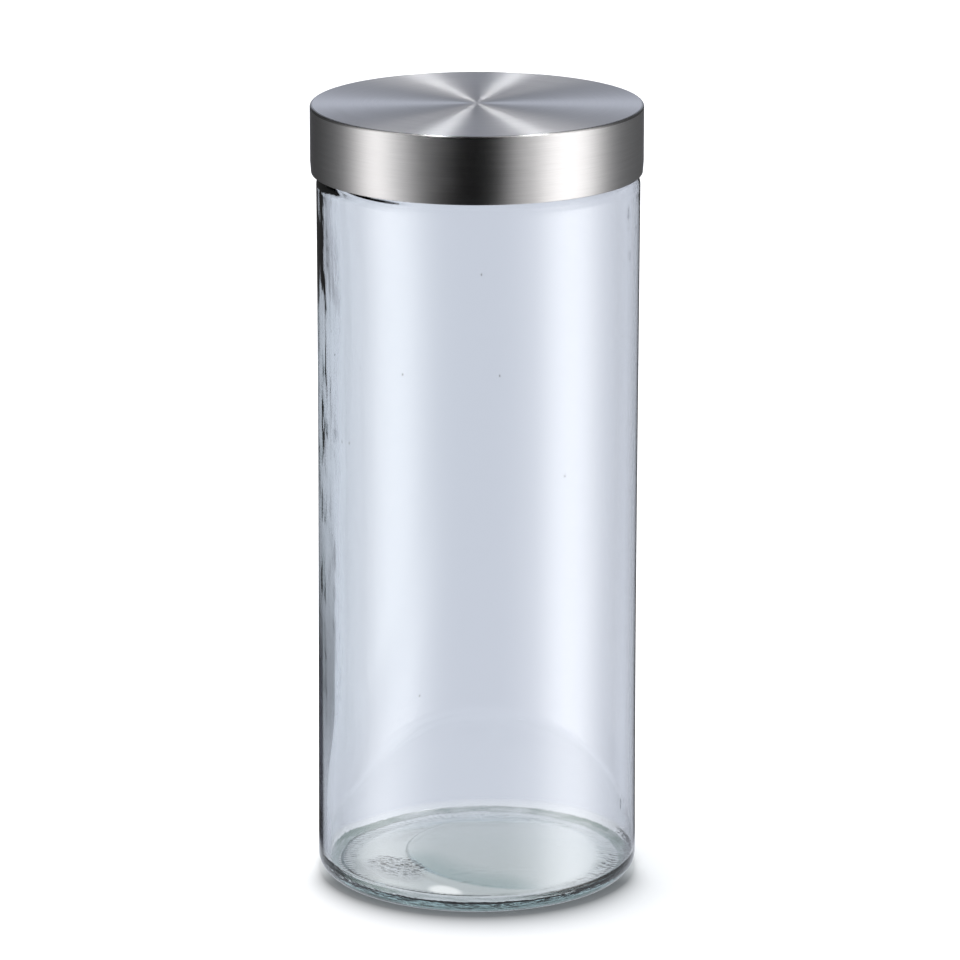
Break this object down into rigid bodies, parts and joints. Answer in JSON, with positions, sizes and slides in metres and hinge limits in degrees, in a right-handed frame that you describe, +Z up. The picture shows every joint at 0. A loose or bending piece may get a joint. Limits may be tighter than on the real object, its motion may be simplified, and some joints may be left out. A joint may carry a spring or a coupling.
{
  "type": "storage jar",
  "caption": "Tall round storage jar of clear glass with a heavy base and a rounded shoulder, closed by a flat-topped brushed steel lid that rests on its rim.",
  "frame": {"origin": "centre of the flat ring that the jar stands on", "axes": "+Z up along the jar's axis, +X towards the thinner side of the glass wall, +Y away from someone who looks at the jar's front"},
  "size_m": [0.11, 0.11, 0.264],
  "materials": {
    "clear_glass": "polished clear soda-lime glass, faintly green where it is thick",
    "brushed_steel": "circular brushing on the top, brushing along the skirt"
  },
  "bodies": {
    "root": {"jar_glass": "clear_glass", "lid_shell": "brushed_steel"}
  },
  "joints": []
}
